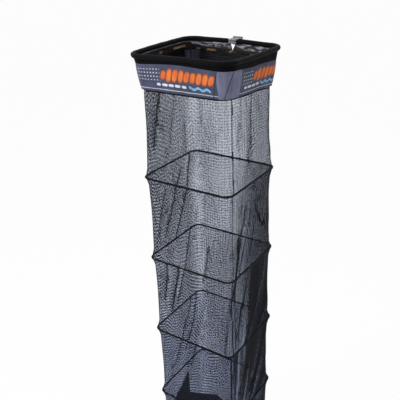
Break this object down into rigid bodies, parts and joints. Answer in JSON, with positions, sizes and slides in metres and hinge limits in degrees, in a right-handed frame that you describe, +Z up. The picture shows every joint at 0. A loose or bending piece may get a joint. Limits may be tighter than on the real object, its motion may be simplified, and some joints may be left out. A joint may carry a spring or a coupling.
{
  "type": "keep net",
  "caption": "Long hanging fishing keep net: padded rectangular mouth on a tilting bank-stick head, cloth collar and fine mesh bays between wire hoops.",
  "frame": {"origin": "on the stud's axis, where the stud leaves the underside of the tilt head", "axes": "+Z up, along the stud and the hanging net; +X along the mouth's long side, towards the knob; +Y from the net towards the bank"},
  "size_m": [0.5608, 0.5434, 2.4877],
  "materials": {
    "cast_grey": "satin grey casting",
    "bright_steel": "bright plated",
    "ring_alloy": "plain drawn tube",
    "knob_grey": "satin",
    "washer_nylon": "matt nylon",
    "foam": "closed-cell foam",
    "black_cloth": "woven, matt",
    "gloss_lining": "coated, glossy",
    "slate_cloth": null,
    "net_mesh": "very fine knotless mesh, half see-through"
  },
  "bodies": {
    "bank_stick_head": {"tilt_head": "cast_grey", "threaded_stud": "bright_steel"},
    "mouth_ring": {"saddle_body": "cast_grey", "saddle_cap": "cast_grey", "saddle_screw_inner": "bright_steel", "saddle_screw_outer": "bright_steel", "pivot_bolt": "bright_steel", "pivot_washer_left": "washer_nylon", "pivot_washer_right": "washer_nylon", "top_ring_tube": "ring_alloy", "ring_padding": "foam", "ring_sleeve": "black_cloth", "collar_skirt": "black_cloth", "collar_band": "slate_cloth", "collar_lining": "gloss_lining", "collar_hem": "black_cloth", "mesh_bay_1": "net_mesh"},
    "lock_knob": {"lock_knob": "knob_grey"},
    "hoop_1": {"hoop_1_wire": "bright_steel", "hoop_1_ferrule": "bright_steel", "hoop_1_tape": "black_cloth", "mesh_bay_2": "net_mesh"},
    "hoop_2": {"hoop_2_wire": "bright_steel", "hoop_2_ferrule": "bright_steel", "hoop_2_tape": "black_cloth", "mesh_bay_3": "net_mesh"},
    "hoop_3": {"hoop_3_wire": "bright_steel", "hoop_3_ferrule": "bright_steel", "hoop_3_tape": "black_cloth", "mesh_bay_4": "net_mesh"},
    "hoop_4": {"hoop_4_wire": "bright_steel", "hoop_4_ferrule": "bright_steel", "hoop_4_tape": "black_cloth", "mesh_bay_5": "net_mesh"},
    "hoop_5": {"hoop_5_wire": "bright_steel", "hoop_5_ferrule": "bright_steel", "hoop_5_tape": "black_cloth", "base_panel": "net_mesh"}
  },
  "joints": [
    {"name": "ring_tilt", "type": "hinge", "parent": "bank_stick_head", "child": "mouth_ring", "pos_m": [0, 0, 0.03], "axis": [-1, 0, 0], "range_deg": [0, 90]},
    {"name": "knob_turn", "type": "hinge", "parent": "mouth_ring", "child": "lock_knob", "pos_m": [0, 0, 0.03], "axis": [1, 0, 0], "range_deg": [0, 360]},
    {"name": "bay_1", "type": "slide", "parent": "mouth_ring", "child": "hoop_1", "axis": [0, 0, 1], "range_m": [0, 0.56], "deforming": ["collar_skirt", "collar_band", "collar_lining", "collar_hem", "mesh_bay_1"]},
    {"name": "bay_2", "type": "slide", "parent": "hoop_1", "child": "hoop_2", "axis": [0, 0, 1], "range_m": [0, 0.44], "deforming": ["mesh_bay_2"]},
    {"name": "bay_3", "type": "slide", "parent": "hoop_2", "child": "hoop_3", "axis": [0, 0, 1], "range_m": [0, 0.44], "deforming": ["mesh_bay_3"]},
    {"name": "bay_4", "type": "slide", "parent": "hoop_3", "child": "hoop_4", "axis": [0, 0, 1], "range_m": [0, 0.44], "deforming": ["mesh_bay_4"]},
    {"name": "bay_5", "type": "slide", "parent": "hoop_4", "child": "hoop_5", "axis": [0, 0, 1], "range_m": [0, 0.44], "deforming": ["mesh_bay_5"]}
  ]
}
